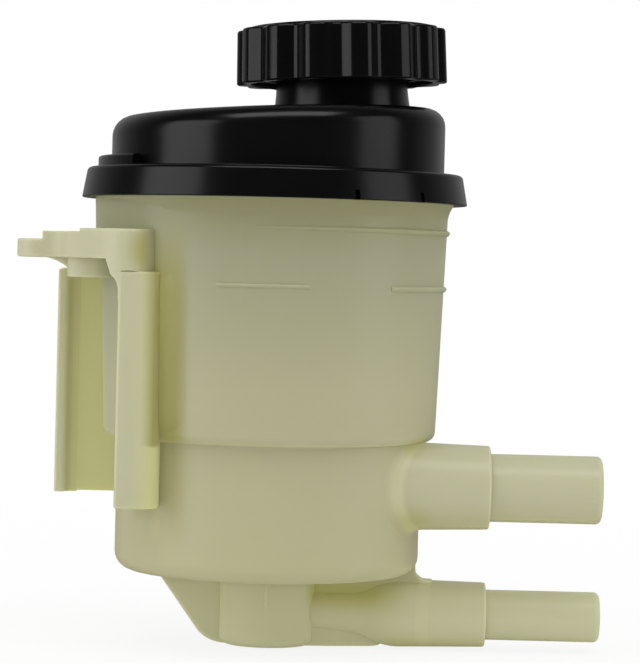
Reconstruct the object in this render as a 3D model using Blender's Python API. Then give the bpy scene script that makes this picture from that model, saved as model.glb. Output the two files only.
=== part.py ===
"""Power steering reservoir with its bracket, hose ports, lid, screw cap and the return filter inside.

Metres, +Z up. The origin is the centre of the sump's flat underside, on the body's axis.
Both hose ports point along +X and the bracket stands on the -X side.
"""

import math

import bmesh
import bpy
from mathutils import Matrix, Vector

MM = 0.001
DEG = math.radians(1)

# Clearances and fineness of the round shapes
SEAT_GAP = 0.3 * MM
OVERLAP = 1.0 * MM
STEP = 0.3 * MM
CUP_SIDES = 56
PORT_SIDES = 28
HOLE_SIDES = 12
RING_SIDES = 36
ARC_STEPS = 3

# Body cup, outside
SUMP_RADIUS = 11.7 * MM
SUMP_ROUND = 2.2 * MM
FLOOR_Z = 17.7 * MM
LOWER_ROUND = 4.1 * MM
LOWER_HEIGHT = 31.9 * MM
LEDGE_WIDTH = 3.3 * MM
LEDGE_ROUND = 2.2 * MM
UPPER_RADIUS = 39.7 * MM
UPPER_HEIGHT = 56.4 * MM
UPPER_DRAFT = 2.0 * DEG
FLARE_HEIGHT = 2.2 * MM
RIM_FLARE = 1.3 * MM

# Body cup, inside
WALL = 2.4 * MM
FLOOR_WALL = 2.6 * MM
INNER_ROUND = 2.0 * MM
PASSAGE_RADIUS = 8.5 * MM
PASSAGE_FLOOR = 2.6 * MM

# Hose ports
RETURN_TUBE_RADIUS = 6.0 * MM
RETURN_TUBE_WALL = 1.8 * MM
RETURN_TUBE_LENGTH = 27.4 * MM
RETURN_COLLAR_RADIUS = 7.65 * MM
RETURN_COLLAR_LENGTH = 27.8 * MM
RETURN_COLLAR_X = 25.0 * MM
RETURN_LIFT = 0.1 * MM
SUCTION_INSET = 23.7 * MM
SUCTION_DROP = 10.0 * MM
SUCTION_TUBE_RADIUS = 8.0 * MM
SUCTION_TUBE_WALL = 1.9 * MM
SUCTION_TUBE_LENGTH = 26.4 * MM
SUCTION_COLLAR_RADIUS = 9.85 * MM
SUCTION_COLLAR_LENGTH = 16.0 * MM
SUCTION_ROOT_DEPTH = 16.0 * MM
COLLAR_DRAFT = 1.2 * DEG
TIP_ROUND = 1.2 * MM
PAD_REACH = 18.9 * MM
PAD_DEPTH = 0.4 * MM
PAD_ROUND = 3.0 * MM

# Webs under the floor
WEB_THICKNESS = 6.0 * MM
GUSSET_INSET = 10.3 * MM
GUSSET_SLOPE = 52.0 * DEG
GUSSET_ROUND = 6.0 * MM
WEB_INSET = 0.6 * MM
WEB_FOOT = 3.2 * MM
WEB_ROUND = 2.0 * MM
KEEL_THICKNESS = 3.0 * MM

# Bracket on the -X side, its reaches taken from the cup's axis and its drops from the plate's underside
PLATE_DROP = 14.6 * MM
PLATE_THICKNESS = 4.3 * MM
BOLT_REACH = 4.6 * MM
TAB_REACH = 6.0 * MM
TAB_FRONT_Y = -16.0 * MM
TAB_BACK_Y = 11.5 * MM
TAB_ROUND = 5.0 * MM
BOLT_RADIUS = 3.4 * MM
PLATE_RIB_HEIGHT = 2.6 * MM
PLATE_RIB_WIDTH = 2.4 * MM
PLATE_RIB_INSET = 6.3 * MM
PLATE_RIB_STEP_INSET = 15.7 * MM
PLATE_RIB_STEP = 0.7 * MM
SLAB_REACH = 12.8 * MM
SLAB_FRONT_Y = 17.5 * MM
SLAB_THICKNESS = 4.0 * MM
SLAB_DROP = 2.4 * MM
SLAB_NECK = 2.8 * MM
SLAB_LIP_WIDTH = 2.2 * MM
SLAB_LIP_DEPTH = 3.0 * MM
RAIL_SETBACK = 15.1 * MM
RAIL_WIDTH = 10.0 * MM
RAIL_INSET = 4.7 * MM
RAIL_ROUND = 4.5 * MM
RAIL_DROP = 2.8 * MM
RAIL_EDGE = 1.0 * MM
RAIL_STRIP = 4.9 * MM
RAIL_RELIEF = 6.5 * MM
RAIL_FILLET_WIDTH = 3.2 * MM
RAIL_FILLET_HEIGHT = 6.7 * MM
BRACKET_LENGTH = 57.1 * MM
BLOCK_DROP = 4.5 * MM
BLOCK_INSET = 1.7 * MM
BLOCK_FRONT_Y = -20.0 * MM
TAB_FILLET_LENGTH = 5.4 * MM
TAB_FILLET_DROP = 2.3 * MM
ROOT_PAD_SETBACK = 22.9 * MM
ROOT_PAD_PROUD = 1.2 * MM
ROOT_PAD_SHIFT = 2.6 * MM

# Level marks on the wall
MARK_HEIGHT = 1.0 * MM
MARK_PROUD = 0.8 * MM
MAX_LEVEL_DROP = 6.7 * MM
MIN_LEVEL_DROP = 20.0 * MM
MAX_LEVEL_ARCS = ((-102 * DEG, 12 * DEG),)
MIN_LEVEL_ARCS = ((-107 * DEG, -77 * DEG), (-48 * DEG, 12 * DEG))

# Lid
SKIRT_WALL = 1.6 * MM
SKIRT_HEIGHT = 7.2 * MM
FLANGE_WIDTH = 5.0 * MM
FLANGE_DRAFT = 10.2 * DEG
FLANGE_ROUND = 0.9 * MM
DOME_HEIGHT = 14.0 * MM
DOME_SLOPE = 0.05
DOME_ROUND = 4.5 * MM
DOME_SHIFT = 0.6 * MM
LID_WALL = 2.4 * MM
LID_RIB_WIDTH = 2.4 * MM
LID_RIB_HEIGHT = 2.6 * MM
LID_RIB_ARC = (189 * DEG, 220 * DEG)
SKIRT_NOTCH_ANGLES = (-65 * DEG, -41.4 * DEG)
SKIRT_NOTCH_WIDTH = 1.2 * MM
SKIRT_NOTCH_HEIGHT = 2.2 * MM

# Filler neck and the cap, with room between them for the thread. Heights are along the neck's own axis,
# from the lid's sloping top
NECK_X = 15.6 * MM
NECK_TILT = -2.0 * DEG
NECK_RADIUS = 15.6 * MM
NECK_WALL = 2.6 * MM
NECK_FLARE = 0.5 * MM
THREAD_DEPTH = 1.8 * MM
THREAD_PLAY = 0.6 * MM
CAP_RIM = 6.5 * MM
CAP_HEIGHT = 13.1 * MM
CAP_DRAFT = 1.3 * DEG
CAP_LOBES = 14
CAP_LOBE_PHASE = -92.6 * DEG
CAP_POINTS_PER_LOBE = 6
CAP_GROOVE_DEPTH = 1.8 * MM
CAP_GROOVE_SHARE = 0.3
CAP_SKIRT_WALL = 2.0 * MM
CAP_GRIP_ROOM = 1.9 * MM
CAP_GRIP_WALL = 3.0 * MM
CAP_PLATE = 2.6 * MM
CAP_DISC_INSET = 2.6 * MM
CAP_DISC_HEIGHT = 0.5 * MM
CAP_ROUND = 0.7 * MM
GASKET_THICKNESS = 1.5 * MM
GASKET_WIDTH = 4.6 * MM

# Baffle plate on the ledge inside the cup
BAFFLE_THICKNESS = 2.0 * MM
BAFFLE_HOLE_RADIUS = 3.0 * MM
BAFFLE_HOLE_INSET = 8.0 * MM
BAFFLE_HOLES = 9
BAFFLE_VENT_RADIUS = 3.0 * MM
BEAD_HEIGHT = 1.4 * MM
BEAD_DEPTH = 0.9 * MM
BEAD_ARC = 22 * DEG
BEADS = 3

# Return filter: a cage with a mesh sleeve on a face seal, held down by a spring
SEAL_RADIUS = 13.6 * MM
SEAL_WIDTH = 3.8 * MM
SEAL_THICKNESS = 1.5 * MM
CAGE_RADIUS = 15.0 * MM
CAGE_RING = 2.5 * MM
SPRING_ROOM = 8.0 * MM
CAGE_RODS = 8
CAGE_ROD_WIDTH = 1.8 * MM
GUIDE_WALL = 1.6 * MM
GUIDE_LENGTH = 5.5 * MM
MESH_WALL = 0.6 * MM
SPRING_RADIUS = 7.0 * MM
SPRING_WIRE = 0.6 * MM
SPRING_TURNS = 3.5
SPRING_STEPS = 16
SPIGOT_LENGTH = 2.0 * MM

# Sizes that follow from the ones above
FLOOR_TOP = FLOOR_Z + FLOOR_WALL
LEDGE_Z = FLOOR_Z + LOWER_HEIGHT
SHELF_Z = LEDGE_Z + WALL
LOWER_RADIUS = UPPER_RADIUS - LEDGE_WIDTH
LOWER_BORE = LOWER_RADIUS - WALL
SKIRT_Z = LEDGE_Z + UPPER_HEIGHT
FLARE_Z = SKIRT_Z - FLARE_HEIGHT
RIM_RADIUS = UPPER_RADIUS + (FLARE_Z - LEDGE_Z) * math.tan(UPPER_DRAFT) + RIM_FLARE
SKIRT_BORE = RIM_RADIUS + SEAT_GAP
FLANGE_Z = SKIRT_Z + SKIRT_HEIGHT
FLANGE_RADIUS = SKIRT_BORE + SKIRT_WALL
LID_FACE_Z = FLANGE_Z - LID_WALL
RIM_TOP = LID_FACE_Z - SEAT_GAP
DOME_RADIUS = FLANGE_RADIUS - FLANGE_WIDTH
DOME_TOP_Z = FLANGE_Z + DOME_HEIGHT
RETURN_ROOT_RADIUS = RETURN_COLLAR_RADIUS + RETURN_COLLAR_LENGTH * math.tan(COLLAR_DRAFT)
RETURN_Z = RETURN_ROOT_RADIUS + RETURN_LIFT
RETURN_COLLAR_END = RETURN_COLLAR_X + RETURN_COLLAR_LENGTH
SUCTION_X = LOWER_RADIUS - SUCTION_ROOT_DEPTH
SUCTION_Y = SUCTION_INSET - LOWER_RADIUS
SUCTION_Z = LEDGE_Z - SUCTION_DROP
SUCTION_COLLAR_END = LOWER_RADIUS + SUCTION_COLLAR_LENGTH
GUSSET_X = -LOWER_RADIUS + GUSSET_INSET
WEB_X = LOWER_RADIUS - WEB_INSET
PLATE_Z = SKIRT_Z - PLATE_DROP
PLATE_TOP = PLATE_Z + PLATE_THICKNESS
SLAB_X = -UPPER_RADIUS - SLAB_REACH
SLAB_NECK_X = SLAB_X + SLAB_NECK
SLAB_TOP = PLATE_Z - SLAB_DROP
SLAB_BACK_Y = SLAB_FRONT_Y + SLAB_THICKNESS
BOLT_X = SLAB_NECK_X - BOLT_REACH
TAB_X = BOLT_X - TAB_REACH
PLATE_RIB_X = TAB_X + PLATE_RIB_INSET
PLATE_RIB_STEP_X = TAB_X + PLATE_RIB_STEP_INSET
RAIL_X = SLAB_NECK_X + RAIL_SETBACK
RAIL_FRONT_Y = RAIL_INSET - UPPER_RADIUS
RAIL_FACE_TOP = PLATE_Z - RAIL_DROP
BRACKET_BOTTOM = PLATE_Z - BRACKET_LENGTH
BRACKET_MIDDLE_Y = (TAB_FRONT_Y + TAB_BACK_Y) / 2
BLOCK_BOTTOM = PLATE_Z - BLOCK_DROP
BLOCK_X = SLAB_NECK_X + BLOCK_INSET
ROOT_PAD_X = SLAB_NECK_X + ROOT_PAD_SETBACK
MAX_LEVEL_Z = SKIRT_Z - MAX_LEVEL_DROP
MIN_LEVEL_Z = SKIRT_Z - MIN_LEVEL_DROP
NECK_BASE_Z = DOME_TOP_Z + DOME_SLOPE * NECK_X
CAP_TOP = CAP_RIM + CAP_HEIGHT
CAP_CEILING = CAP_TOP + CAP_DISC_HEIGHT - CAP_PLATE
NECK_TOP = CAP_CEILING - GASKET_THICKNESS - 2 * SEAT_GAP
NECK_BORE = NECK_RADIUS - NECK_WALL
CAP_BORE = NECK_RADIUS + THREAD_DEPTH + THREAD_PLAY
CAP_SKIRT_RADIUS = CAP_BORE + CAP_SKIRT_WALL
CAP_GRIP_BORE = CAP_SKIRT_RADIUS + CAP_GRIP_ROOM
CAP_RADIUS = CAP_GRIP_BORE + CAP_GRIP_WALL
CAP_DISC_RADIUS = CAP_RADIUS - CAP_DISC_INSET
BAFFLE_Z = SHELF_Z + SEAT_GAP
BAFFLE_TOP = BAFFLE_Z + BAFFLE_THICKNESS
BAFFLE_HOLE_CIRCLE = LOWER_BORE - BAFFLE_HOLE_INSET
SEAL_Z = FLOOR_TOP + SEAT_GAP
CAGE_Z = SEAL_Z + SEAL_THICKNESS + SEAT_GAP
CAGE_TOP_Z = SHELF_Z - SPRING_ROOM
ROD_BORE = CAGE_RADIUS - CAGE_ROD_WIDTH
MESH_RADIUS = ROD_BORE - SEAT_GAP
GUIDE_RADIUS = PASSAGE_RADIUS - SEAT_GAP
SPIGOT_RADIUS = SPRING_RADIUS - SPRING_WIRE - SEAT_GAP


def upper_radius(z):
    """Outer radius of the cup's drafted upper section at a height."""
    return UPPER_RADIUS + (z - LEDGE_Z) * math.tan(UPPER_DRAFT)


def plastic(name, color, roughness, metallic=0.0):
    material = bpy.data.materials.new(name)
    material.use_nodes = True
    shader = material.node_tree.nodes["Principled BSDF"]
    shader.inputs["Base Color"].default_value = (*color, 1.0)
    shader.inputs["Roughness"].default_value = roughness
    shader.inputs["Metallic"].default_value = metallic
    material.diffuse_color = (*color, 1.0)
    return material


def rounded(corners, steps=ARC_STEPS):
    """Points of an outline of (u, v, radius) corners. An arc never takes more than half of a side."""
    points = []
    for i, (u, v, radius) in enumerate(corners):
        corner = Vector((u, v))
        to_last = Vector(corners[i - 1][:2]) - corner
        to_next = Vector(corners[(i + 1) % len(corners)][:2]) - corner
        if radius == 0:
            points.append(corner)
            continue
        half = to_last.angle(to_next) / 2
        reach = min(radius / math.tan(half), 0.49 * to_last.length, 0.49 * to_next.length)
        arc_radius = reach * math.tan(half)
        middle = (to_last.normalized() + to_next.normalized()).normalized()
        centre = corner + middle * arc_radius / math.sin(half)
        first = corner + to_last.normalized() * reach - centre
        turn = first.angle_signed(corner + to_next.normalized() * reach - centre)
        for k in range(steps + 1):
            arm = first.copy()
            arm.rotate(Matrix.Rotation(-turn * k / steps, 2))
            points.append(centre + arm)
    return points


def object_from(bm, name, material=None, parent=None):
    """Turns a bmesh into an object of the scene, facing out and shaded smooth between its sharp edges."""
    bmesh.ops.remove_doubles(bm, verts=bm.verts, dist=0.001 * MM)
    bmesh.ops.recalc_face_normals(bm, faces=bm.faces)
    mesh = bpy.data.meshes.new(name)
    bm.to_mesh(mesh)
    bm.free()
    mesh.shade_smooth()
    mesh.set_sharp_from_angle(angle=35 * DEG)
    if material:
        mesh.materials.append(material)
    made = bpy.data.objects.new(name, mesh)
    made.parent = parent
    bpy.context.scene.collection.objects.link(made)
    return made


def turned_mesh(corners, sides, arc_steps=ARC_STEPS):
    """Turns a profile of (radius, z, round) corners about Z. One that starts on the axis also ends there."""
    bm = bmesh.new()
    profile = [bm.verts.new((r, 0, z)) for r, z in rounded(corners, arc_steps)]
    edges = [bm.edges.new(pair) for pair in zip(profile, profile[1:])]
    if corners[0][0] > 0:
        edges.append(bm.edges.new((profile[-1], profile[0])))
    bmesh.ops.spin(bm, geom=profile + edges, axis=(0, 0, 1), cent=(0, 0, 0), steps=sides,
                   angle=2 * math.pi, use_merge=True)
    return bm


def turned(name, corners, sides, material=None, parent=None):
    return object_from(turned_mesh(corners, sides), name, material, parent)


def arc_solid(name, corners, start, end, sides=CUP_SIDES):
    """A stretch of a ring: the profile turned about Z from one angle to another, with flat ends."""
    bm = bmesh.new()
    face = bm.faces.new([bm.verts.new((r, 0, z)) for r, z in rounded(corners)])
    bmesh.ops.rotate(bm, verts=bm.verts, matrix=Matrix.Rotation(start, 3, "Z"))
    steps = max(2, round((end - start) / (2 * math.pi) * sides))
    bmesh.ops.spin(bm, geom=[face], axis=(0, 0, 1), cent=(0, 0, 0), steps=steps, angle=end - start)
    return object_from(bm, name)


def extruded(name, corners, low, high, upright=False):
    """A rounded outline given thickness: in X and Y between two heights, or upright in X and Z."""
    bm = bmesh.new()
    face = bm.faces.new([bm.verts.new((u, v, low)) for u, v in rounded(corners)])
    made = bmesh.ops.extrude_face_region(bm, geom=[face])["geom"]
    moved = [v for v in made if isinstance(v, bmesh.types.BMVert)]
    bmesh.ops.translate(bm, verts=moved, vec=(0, 0, high - low))
    if upright:
        for vert in bm.verts:
            vert.co.yz = vert.co.zy
    return object_from(bm, name)


def box(name, low, high):
    corners = ((low[0], low[1], 0), (high[0], low[1], 0), (high[0], high[1], 0), (low[0], high[1], 0))
    return extruded(name, corners, low[2], high[2])


def hide(tool):
    tool.hide_render = True
    tool.display_type = "WIRE"


def combine(target, tool, operation):
    modifier = target.modifiers.new(tool.name, "BOOLEAN")
    modifier.operation = operation
    modifier.object = tool
    hide(tool)


def add(target, *tools):
    for tool in tools:
        combine(target, tool, "UNION")


def cut(target, *tools):
    for tool in tools:
        combine(target, tool, "DIFFERENCE")


def cup_solid(material):
    """Outside of the cup: a drafted upper section on a narrower lower one, and a rim inside the skirt."""
    corners = (
        (0, FLOOR_Z, 0),
        (LOWER_RADIUS, FLOOR_Z, LOWER_ROUND),
        (LOWER_RADIUS, LEDGE_Z, 0),
        (UPPER_RADIUS, LEDGE_Z, LEDGE_ROUND),
        (upper_radius(FLARE_Z), FLARE_Z, 2 * FLARE_HEIGHT),
        (RIM_RADIUS, SKIRT_Z, 0),
        (RIM_RADIUS, RIM_TOP, 0),
        (0, RIM_TOP, 0),
    )
    return turned("reservoir_body", corners, CUP_SIDES, material)


def cup_cavity():
    """The hollow of the cup, with an inner ledge that carries the baffle plate."""
    corners = (
        (0, FLOOR_TOP, 0),
        (LOWER_BORE, FLOOR_TOP, INNER_ROUND),
        (LOWER_BORE, SHELF_Z, 0),
        (upper_radius(SHELF_Z) - WALL, SHELF_Z, 0),
        (upper_radius(RIM_TOP) - WALL, RIM_TOP + OVERLAP, 0),
        (0, RIM_TOP + OVERLAP, 0),
    )
    return turned("cup_cavity", corners, CUP_SIDES)


def sump_solid():
    top = FLOOR_Z + OVERLAP
    corners = ((0, 0, 0), (SUMP_RADIUS, 0, SUMP_ROUND), (SUMP_RADIUS, top, 0), (0, top, 0))
    return turned("sump", corners, PORT_SIDES)


def sump_passage():
    top = FLOOR_TOP + OVERLAP
    corners = ((0, PASSAGE_FLOOR, 0), (PASSAGE_RADIUS, PASSAGE_FLOOR, INNER_ROUND),
               (PASSAGE_RADIUS, top, 0), (0, top, 0))
    return turned("sump_passage", corners, PORT_SIDES)


def along_x(made, y, z):
    """Lays a shape turned about Z along +X instead."""
    made.rotation_euler = (0, math.pi / 2, 0)
    made.location = (0, y, z)
    return made


def port_solid(name, y, z, start, collar_start, collar_radius, collar_end, tube_radius, tube_length):
    """A hose spigot with a drafted collar at its root. Before the collar it is a plain tube."""
    root_radius = collar_radius + (collar_end - collar_start) * math.tan(COLLAR_DRAFT)
    tip = collar_end + tube_length
    corners = (
        (0, start, 0),
        (tube_radius, start, 0),
        (tube_radius, collar_start, 0),
        (root_radius, collar_start, 0),
        (collar_radius, collar_end, 0),
        (tube_radius, collar_end, 0),
        (tube_radius, tip, TIP_ROUND),
        (0, tip, 0),
    )
    return along_x(turned(name, corners, PORT_SIDES), y, z)


def port_bore(name, y, z, start, radius, tip):
    corners = ((0, start, 0), (radius, start, 0), (radius, tip + OVERLAP, 0), (0, tip + OVERLAP, 0))
    return along_x(turned(name, corners, PORT_SIDES), y, z)


def suction_pad():
    """A shallow raised pad on the lower wall round the suction port, flush with the ledge above it."""
    low, high = SUCTION_Z - SUCTION_COLLAR_RADIUS - PAD_ROUND, LEDGE_Z + OVERLAP
    pad_radius = LOWER_RADIUS + PAD_DEPTH
    profile = ((0, low, 0), (pad_radius, low, 0), (pad_radius, high, 0), (0, high, 0))
    pad = turned("suction_pad", profile, CUP_SIDES)
    front, back = SUCTION_Y - PAD_REACH, SUCTION_Y + PAD_REACH
    corners = ((front, low - OVERLAP, 0), (back, low - OVERLAP, 0),
               (back, LEDGE_Z, PAD_ROUND), (front, LEDGE_Z, PAD_ROUND))
    bm = bmesh.new()
    face = bm.faces.new([bm.verts.new((0, y, z)) for y, z in rounded(corners)])
    made = bmesh.ops.extrude_face_region(bm, geom=[face])["geom"]
    moved = [v for v in made if isinstance(v, bmesh.types.BMVert)]
    bmesh.ops.translate(bm, verts=moved, vec=(pad_radius + OVERLAP, 0, 0))
    window = object_from(bm, "suction_pad_window")
    combine(pad, window, "INTERSECT")
    return pad


def floor_webs():
    """The sloping gusset on the -X side of the sump and the web that ties the return port to the floor."""
    top = FLOOR_Z + OVERLAP
    run = 1 / math.tan(GUSSET_SLOPE)
    foot = SEAT_GAP
    gusset = extruded("gusset", (
        (0, top, 0),
        (GUSSET_X - OVERLAP * run, top, 0),
        (GUSSET_X + (FLOOR_Z - foot) * run, foot, GUSSET_ROUND),
        (0, foot, 0),
    ), -WEB_THICKNESS / 2, WEB_THICKNESS / 2, upright=True)
    collar_top = RETURN_Z + RETURN_COLLAR_RADIUS - SEAT_GAP
    web = extruded("return_web", (
        (PASSAGE_RADIUS, top, 0),
        (PASSAGE_RADIUS, RETURN_Z, 0),
        (WEB_X + WEB_FOOT, RETURN_Z, 0),
        (WEB_X + WEB_FOOT, collar_top, 0),
        (WEB_X, collar_top + SEAT_GAP, WEB_ROUND),
        (WEB_X, top, 0),
    ), -WEB_THICKNESS / 2, WEB_THICKNESS / 2, upright=True)
    keel = box("return_keel", (PASSAGE_RADIUS, -KEEL_THICKNESS / 2, foot),
               (RETURN_COLLAR_X + OVERLAP, KEEL_THICKNESS / 2, RETURN_Z))
    return gusset, web, keel


def bracket_plate():
    """The level plate: a bolt tab with rounded corners that widens to the front rail and the back slab."""
    front = RAIL_FRONT_Y + STEP
    right = RAIL_X + RAIL_WIDTH - STEP
    plate = extruded("bracket_plate", (
        (TAB_X, TAB_FRONT_Y, TAB_ROUND),
        (SLAB_NECK_X, TAB_FRONT_Y, TAB_ROUND),
        (RAIL_X - RAIL_FILLET_WIDTH - STEP, front, RAIL_EDGE),
        (RAIL_X + RAIL_STRIP, front, RAIL_RELIEF),
        (right, front + RAIL_RELIEF, 0),
        (right, SLAB_BACK_Y, 0),
        (SLAB_NECK_X, SLAB_BACK_Y, RAIL_EDGE),
        (SLAB_NECK_X, TAB_BACK_Y, RAIL_EDGE),
        (TAB_X, TAB_BACK_Y, TAB_ROUND),
    ), PLATE_Z, PLATE_TOP)
    rib_top = PLATE_TOP + PLATE_RIB_HEIGHT
    front_rib = extruded("plate_front_rib", (
        (PLATE_RIB_X, TAB_FRONT_Y + STEP, 0),
        (SLAB_NECK_X, TAB_FRONT_Y + STEP, TAB_ROUND),
        (RAIL_X - RAIL_FILLET_WIDTH, front + STEP, RAIL_EDGE),
        (RAIL_X + RAIL_STRIP, front + STEP, RAIL_RELIEF),
        (RAIL_X + RAIL_STRIP + PLATE_RIB_WIDTH, front + PLATE_RIB_WIDTH + STEP, 0),
        (RAIL_X - RAIL_FILLET_WIDTH + PLATE_RIB_WIDTH, front + PLATE_RIB_WIDTH + STEP, RAIL_EDGE),
        (SLAB_NECK_X + PLATE_RIB_WIDTH, TAB_FRONT_Y + STEP + PLATE_RIB_WIDTH, TAB_ROUND),
        (PLATE_RIB_X, TAB_FRONT_Y + STEP + PLATE_RIB_WIDTH, 0),
    ), PLATE_Z + OVERLAP, rib_top)
    back_rib = box("plate_back_rib", (PLATE_RIB_X, TAB_BACK_Y - PLATE_RIB_WIDTH - STEP, PLATE_Z + OVERLAP),
                   (-LOWER_RADIUS, TAB_BACK_Y - STEP, rib_top))
    block = box("plate_block", (BLOCK_X, BLOCK_FRONT_Y, BLOCK_BOTTOM),
                (ROOT_PAD_X, SLAB_FRONT_Y + OVERLAP, PLATE_Z + OVERLAP))
    fillet_low = PLATE_Z - TAB_FILLET_DROP
    tab_fillet = extruded("tab_fillet", (
        (BLOCK_X + OVERLAP, PLATE_Z + OVERLAP, 0),
        (BLOCK_X - TAB_FILLET_LENGTH, PLATE_Z + OVERLAP, 0),
        (BLOCK_X - TAB_FILLET_LENGTH, PLATE_Z, 0),
        (BLOCK_X - TAB_FILLET_LENGTH / 2, PLATE_Z - STEP, TAB_FILLET_LENGTH),
        (BLOCK_X, fillet_low, 0),
        (BLOCK_X + OVERLAP, fillet_low, 0),
    ), TAB_FRONT_Y + STEP, TAB_BACK_Y - STEP, upright=True)
    return plate, front_rib, back_rib, block, tab_fillet


def bracket_walls():
    """The front rail with its rounded face and its fillet under the plate, and the back slab with its lip."""
    rail_right = RAIL_X + RAIL_WIDTH
    core_front = RAIL_FRONT_Y + 2 * STEP
    rail_face = extruded("rail_face", (
        (RAIL_X, RAIL_FRONT_Y, RAIL_EDGE),
        (rail_right, RAIL_FRONT_Y, RAIL_ROUND),
        (rail_right, BLOCK_FRONT_Y - OVERLAP, 0),
        (RAIL_X, BLOCK_FRONT_Y - OVERLAP, 0),
    ), BRACKET_BOTTOM, RAIL_FACE_TOP)
    rail_core = extruded("rail_core", (
        (RAIL_X + STEP, core_front, RAIL_EDGE),
        (RAIL_X + RAIL_STRIP - STEP, core_front, RAIL_EDGE),
        (rail_right - 2 * STEP, core_front + RAIL_RELIEF, 0),
        (rail_right - 2 * STEP, BLOCK_FRONT_Y + OVERLAP, 0),
        (RAIL_X + STEP, BLOCK_FRONT_Y + OVERLAP, 0),
    ), BRACKET_BOTTOM + STEP, PLATE_Z + OVERLAP)
    fillet = extruded("rail_fillet", (
        (RAIL_X + OVERLAP, PLATE_Z + 2 * OVERLAP, 0),
        (RAIL_X - RAIL_FILLET_WIDTH, PLATE_Z + 2 * OVERLAP, 0),
        (RAIL_X - RAIL_FILLET_WIDTH, PLATE_Z - STEP, 0),
        (RAIL_X - STEP, PLATE_Z - RAIL_FILLET_HEIGHT / 3, RAIL_FILLET_HEIGHT),
        (RAIL_X + STEP, PLATE_Z - RAIL_FILLET_HEIGHT, 0),
        (RAIL_X + OVERLAP, PLATE_Z - RAIL_FILLET_HEIGHT, 0),
    ), RAIL_FRONT_Y + 3 * STEP, BLOCK_FRONT_Y - OVERLAP - STEP, upright=True)
    slab_neck = SLAB_NECK_X + 2 * STEP
    slab = extruded("back_slab", (
        (SLAB_X, BRACKET_BOTTOM, 0),
        (ROOT_PAD_X, BRACKET_BOTTOM, 0),
        (ROOT_PAD_X, PLATE_Z + 2 * OVERLAP, 0),
        (slab_neck, PLATE_Z + 2 * OVERLAP, 0),
        (slab_neck, SLAB_TOP, 0),
        (SLAB_X, SLAB_TOP, 0),
    ), SLAB_FRONT_Y, SLAB_BACK_Y - STEP, upright=True)
    lip = box("slab_lip", (SLAB_X - STEP, SLAB_FRONT_Y - SLAB_LIP_DEPTH, BRACKET_BOTTOM - STEP),
              (SLAB_X + SLAB_LIP_WIDTH, SLAB_BACK_Y - 2 * STEP, SLAB_TOP - STEP))
    return rail_face, rail_core, fillet, slab, lip


def bracket_root_pad():
    """The cup's wall is thicker where the bracket joins it. The pad runs out into the wall on both sides."""
    low, high = BLOCK_BOTTOM + OVERLAP, SKIRT_Z - STEP
    sink = ROOT_PAD_SHIFT - ROOT_PAD_PROUD
    corners = ((0, low, 0), (upper_radius(low) - sink, low, 0),
               (upper_radius(high) - sink, high, 0), (0, high, 0))
    pad = turned("bracket_root_pad", corners, CUP_SIDES)
    pad.location.x = -ROOT_PAD_SHIFT
    return pad


def level_marks():
    marks = []
    for name, z, arcs in (("max", MAX_LEVEL_Z, MAX_LEVEL_ARCS), ("min", MIN_LEVEL_Z, MIN_LEVEL_ARCS)):
        inner, outer = upper_radius(z) - WALL / 2, upper_radius(z) + MARK_PROUD
        corners = ((inner, z - MARK_HEIGHT / 2, 0), (outer, z - MARK_HEIGHT / 2, 0),
                   (outer, z + MARK_HEIGHT / 2, 0), (inner, z + MARK_HEIGHT / 2, 0))
        marks += [arc_solid(f"{name}_level_{i}", corners, *arc) for i, arc in enumerate(arcs)]
    return marks


def baffle_beads():
    """Snap beads on the inner wall that hold the baffle plate down on its ledge."""
    low = BAFFLE_TOP + SEAT_GAP
    wall = upper_radius(low) - WALL
    high = low + BEAD_HEIGHT
    corners = ((wall - BEAD_DEPTH, low, 0), (wall + WALL / 2, low, 0),
               (wall + WALL / 2, high, 0), (wall - BEAD_DEPTH, high, BEAD_DEPTH / 2))
    middles = [2 * math.pi * (i + 0.5) / BEADS for i in range(BEADS)]
    return [arc_solid(f"baffle_bead_{i}", corners, middle - BEAD_ARC / 2, middle + BEAD_ARC / 2)
            for i, middle in enumerate(middles)]


def bolt_hole():
    corners = ((0, PLATE_Z - OVERLAP, 0), (BOLT_RADIUS, PLATE_Z - OVERLAP, 0),
               (BOLT_RADIUS, PLATE_TOP + OVERLAP, 0), (0, PLATE_TOP + OVERLAP, 0))
    hole = turned("bolt_hole", corners, PORT_SIDES)
    hole.location = (BOLT_X, BRACKET_MIDDLE_Y, 0)
    return hole


def rib_step():
    """The front rib is a little lower over the tab."""
    rib_top = PLATE_TOP + PLATE_RIB_HEIGHT
    return box("plate_rib_step", (TAB_X, TAB_FRONT_Y - OVERLAP, rib_top - PLATE_RIB_STEP),
               (PLATE_RIB_STEP_X, TAB_FRONT_Y + 2 * PLATE_RIB_WIDTH, rib_top + OVERLAP))


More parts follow.
